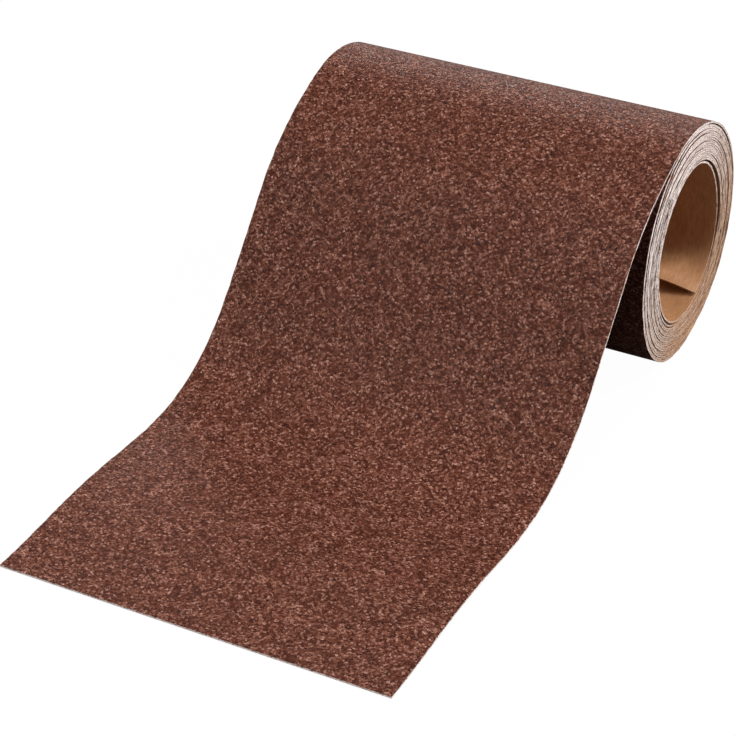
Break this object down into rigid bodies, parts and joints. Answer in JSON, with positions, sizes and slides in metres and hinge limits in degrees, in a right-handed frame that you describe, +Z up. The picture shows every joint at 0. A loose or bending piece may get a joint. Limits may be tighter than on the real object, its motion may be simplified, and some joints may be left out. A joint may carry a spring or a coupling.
{
  "type": "abrasive paper roll",
  "caption": "Coreless roll of abrasive paper, partly unrolled: a wound coil whose leader runs down from the top and lies flat on the table.",
  "frame": {"origin": "middle of the whole object's footprint, on the surface it lies on", "axes": "+X along the coil's axis, -Y the way the leader runs out, +Z up"},
  "size_m": [0.115, 0.2207, 0.0715],
  "materials": {
    "kraft_backing": "matt brown kraft paper",
    "abrasive_coat": "coarse red-brown aluminium oxide grain in resin"
  },
  "bodies": {
    "outer_turn": {"outer_turn_abrasive_coat": "abrasive_coat", "outer_turn_paper_backing": "kraft_backing", "slope_abrasive_coat": "abrasive_coat", "slope_paper_backing": "kraft_backing", "loose_turn_abrasive_coat": "abrasive_coat", "loose_turn_paper_backing": "kraft_backing"},
    "coil": {"coil_abrasive_coat": "abrasive_coat", "coil_paper_backing": "kraft_backing"},
    "inner_end": {"inner_end_abrasive_coat": "abrasive_coat", "inner_end_paper_backing": "kraft_backing"},
    "floor_run": {"floor_run_abrasive_coat": "abrasive_coat", "floor_run_paper_backing": "kraft_backing", "payout_run_abrasive_coat": "abrasive_coat", "payout_run_paper_backing": "kraft_backing"},
    "leader_front": {"leader_front_abrasive_coat": "abrasive_coat", "leader_front_paper_backing": "kraft_backing"},
    "leader_tip": {"leader_tip_abrasive_coat": "abrasive_coat", "leader_tip_paper_backing": "kraft_backing"}
  },
  "joints": [
    {"name": "coil_turn", "type": "hinge", "parent": "outer_turn", "child": "coil", "pos_m": [0, 0.07621, 0.03516], "axis": [1, 0, 0], "range_deg": [0, 150], "deforming": ["loose_turn_abrasive_coat", "loose_turn_paper_backing"]},
    {"name": "inner_end_flex", "type": "hinge", "parent": "coil", "child": "inner_end", "pos_m": [0, 0.09523, 0.02418], "axis": [-1, 0, 0], "range_deg": [0, 30], "stiffness_Nm_per_rad": 0.004},
    {"name": "leader_lift", "type": "hinge", "parent": "outer_turn", "child": "floor_run", "pos_m": [0, -0.04993, 0.00054], "axis": [-1, 0, 0], "range_deg": [0, 45], "stiffness_Nm_per_rad": 0.01},
    {"name": "payout", "type": "slide", "parent": "floor_run", "child": "leader_front", "axis": [0, -1, 0], "range_m": [0, 0.0925], "deforming": ["payout_run_abrasive_coat", "payout_run_paper_backing"]},
    {"name": "tip_curl", "type": "hinge", "parent": "leader_front", "child": "leader_tip", "pos_m": [0, -0.08793, 0.00054], "axis": [-1, 0, 0], "range_deg": [0, 60], "stiffness_Nm_per_rad": 0.004}
  ],
  "couplings": [
    {"joint": "payout", "follows": "coil_turn", "m_per_rad": 0.0353}
  ]
}
